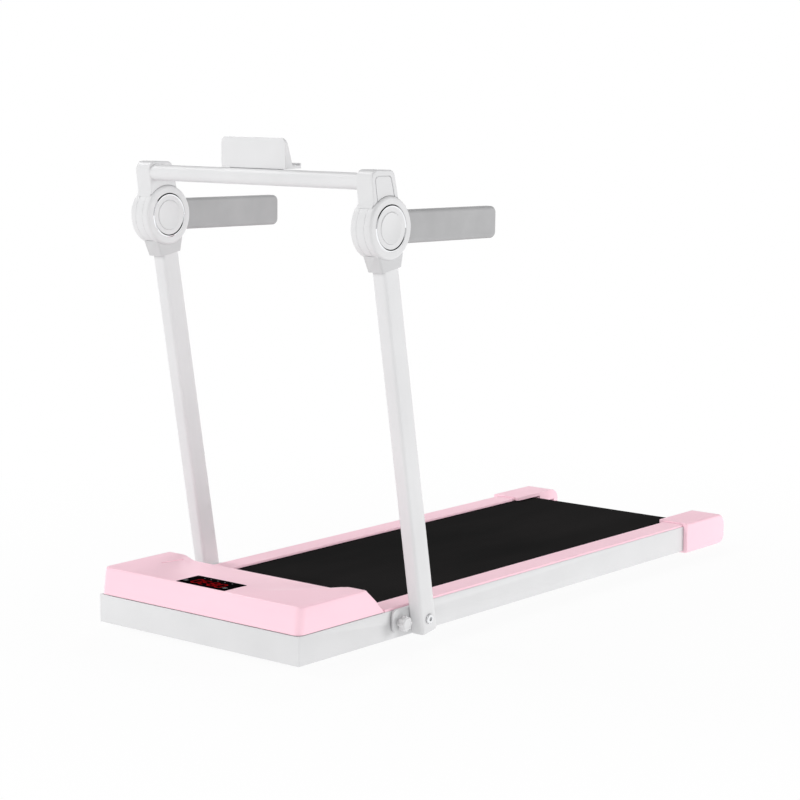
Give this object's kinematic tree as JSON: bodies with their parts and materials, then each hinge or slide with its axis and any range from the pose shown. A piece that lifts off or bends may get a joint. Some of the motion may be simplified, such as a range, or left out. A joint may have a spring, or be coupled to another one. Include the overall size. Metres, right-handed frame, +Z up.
{
  "type": "walking pad",
  "caption": "Folding walking pad: low motor hood with a display, running belt between side rails, and folding uprights that carry a handlebar with grips and a phone stand.",
  "frame": {"origin": "on the floor under the middle of the base's length and width", "axes": "+X to the right as seen from in front of the motor end, +Y from the motor end to the belt's rear end, +Z up"},
  "size_m": [0.5952, 1.362, 0.9067],
  "materials": {
    "white_paint": "smooth satin white paint",
    "pink_plastic": "smooth satin pale pink",
    "belt_rubber": "fine diamond texture, matt",
    "white_plastic": "smooth satin white",
    "grip_grey": "matt light grey",
    "chrome_trim": "polished",
    "display_black": "gloss black",
    "digit_red": "red light",
    "steel": "plain turned steel",
    "black_paint": "black powder coat",
    "motor_paint": "dark grey enamel",
    "deck_board": "laminated board",
    "black_rubber": "matt",
    "board_green": "green circuit board",
    "black_plastic": "moulded black",
    "switch_red": "gloss red"
  },
  "bodies": {
    "base": {"control_board": "board_green", "cross_members": "black_paint", "deck_cushions": "black_rubber", "display_board": "board_green", "display_digits": "digit_red", "display_window": "display_black", "drive_belt": "black_rubber", "feet": "black_rubber", "floor_pan": "black_paint", "frame_front": "white_paint", "frame_side_left": "white_paint", "frame_side_right": "white_paint", "front_axle": "steel", "motor_body": "motor_paint", "motor_bracket": "black_paint", "motor_hood": "pink_plastic", "pivot_bolts": "steel", "pivot_spacers": "steel", "power_inlet": "black_plastic", "rear_axle": "steel", "rear_bar": "black_paint", "rear_cap_left": "pink_plastic", "rear_cap_right": "pink_plastic", "running_belt": "belt_rubber", "running_deck": "deck_board", "side_rail_left": "pink_plastic", "side_rail_right": "pink_plastic", "switch_housing": "black_plastic", "tension_bolts": "steel", "wheel_axles": "steel", "wheel_brackets": "black_paint"},
    "front_roller": {"front_roller": "steel", "roller_pulley": "black_plastic"},
    "rear_roller": {"rear_roller": "steel"},
    "rotor": {"motor_rotor": "steel"},
    "rocker": {"switch_rocker": "switch_red"},
    "wheel_left": {"wheel_left": "black_rubber"},
    "wheel_right": {"wheel_right": "black_rubber"},
    "knob_left": {"knob_left": "white_plastic"},
    "knob_right": {"knob_right": "white_plastic"},
    "uprights": {"post_left": "white_paint", "post_right": "white_paint", "foot_plate_left": "white_paint", "foot_plate_right": "white_paint", "post_bushes": "black_plastic", "collar_left": "white_plastic", "collar_right": "white_plastic", "hub_axles": "steel", "hub_covers": "white_plastic", "hub_rings": "chrome_trim", "inner_caps": "white_plastic"},
    "button_left": {"button_left": "white_plastic"},
    "button_right": {"button_right": "white_plastic"},
    "head": {"hub_core_left": "white_plastic", "hub_core_right": "white_plastic", "handle_bars": "steel", "grip_left": "grip_grey", "grip_right": "grip_grey", "crossbar": "white_paint", "phone_stand": "white_plastic"}
  },
  "joints": [
    {"name": "uprights_fold", "type": "hinge", "parent": "base", "child": "uprights", "pos_m": [0, -0.372, 0.0425], "axis": [-1, 0, 0], "range_deg": [0, 92.5]},
    {"name": "handlebar_swing", "type": "hinge", "parent": "uprights", "child": "head", "pos_m": [0, -0.48808, 0.75602], "axis": [1, 0, 0], "range_deg": [0, 92.5]},
    {"name": "front_roller_spin", "type": "hinge", "parent": "base", "child": "front_roller", "pos_m": [0, -0.481, 0.0415], "axis": [-1, 0, 0], "continuous": true},
    {"name": "rear_roller_spin", "type": "hinge", "parent": "base", "child": "rear_roller", "pos_m": [0, 0.591, 0.0415], "axis": [-1, 0, 0], "continuous": true},
    {"name": "motor_spin", "type": "hinge", "parent": "base", "child": "rotor", "pos_m": [-0.15, -0.589, 0.056], "axis": [-1, 0, 0], "continuous": true},
    {"name": "wheel_left_spin", "type": "hinge", "parent": "base", "child": "wheel_left", "pos_m": [-0.175, -0.607, 0.02], "axis": [1, 0, 0], "continuous": true},
    {"name": "wheel_right_spin", "type": "hinge", "parent": "base", "child": "wheel_right", "pos_m": [0.175, -0.607, 0.02], "axis": [1, 0, 0], "continuous": true},
    {"name": "knob_left_turn", "type": "hinge", "parent": "base", "child": "knob_left", "pos_m": [-0.27, -0.421, 0.0396], "axis": [-1, 0, 0], "range_deg": [0, 720]},
    {"name": "knob_right_turn", "type": "hinge", "parent": "base", "child": "knob_right", "pos_m": [0.27, -0.421, 0.0396], "axis": [1, 0, 0], "range_deg": [0, 720]},
    {"name": "switch_rock", "type": "hinge", "parent": "base", "child": "rocker", "pos_m": [-0.247, -0.577, 0.038], "axis": [0, 0, -1], "range_deg": [0, 14]},
    {"name": "button_left_press", "type": "slide", "parent": "uprights", "child": "button_left", "axis": [1, 0, 0], "range_m": [0, 0.004], "stiffness_N_per_m": 500, "springref_m": -0.003},
    {"name": "button_right_press", "type": "slide", "parent": "uprights", "child": "button_right", "axis": [-1, 0, 0], "range_m": [0, 0.004], "stiffness_N_per_m": 500, "springref_m": -0.003}
  ],
  "couplings": [
    {"joint": "handlebar_swing", "follows": "uprights_fold", "ratio": 1},
    {"joint": "rear_roller_spin", "follows": "front_roller_spin", "ratio": 1},
    {"joint": "motor_spin", "follows": "front_roller_spin", "ratio": 2.0833}
  ]
}
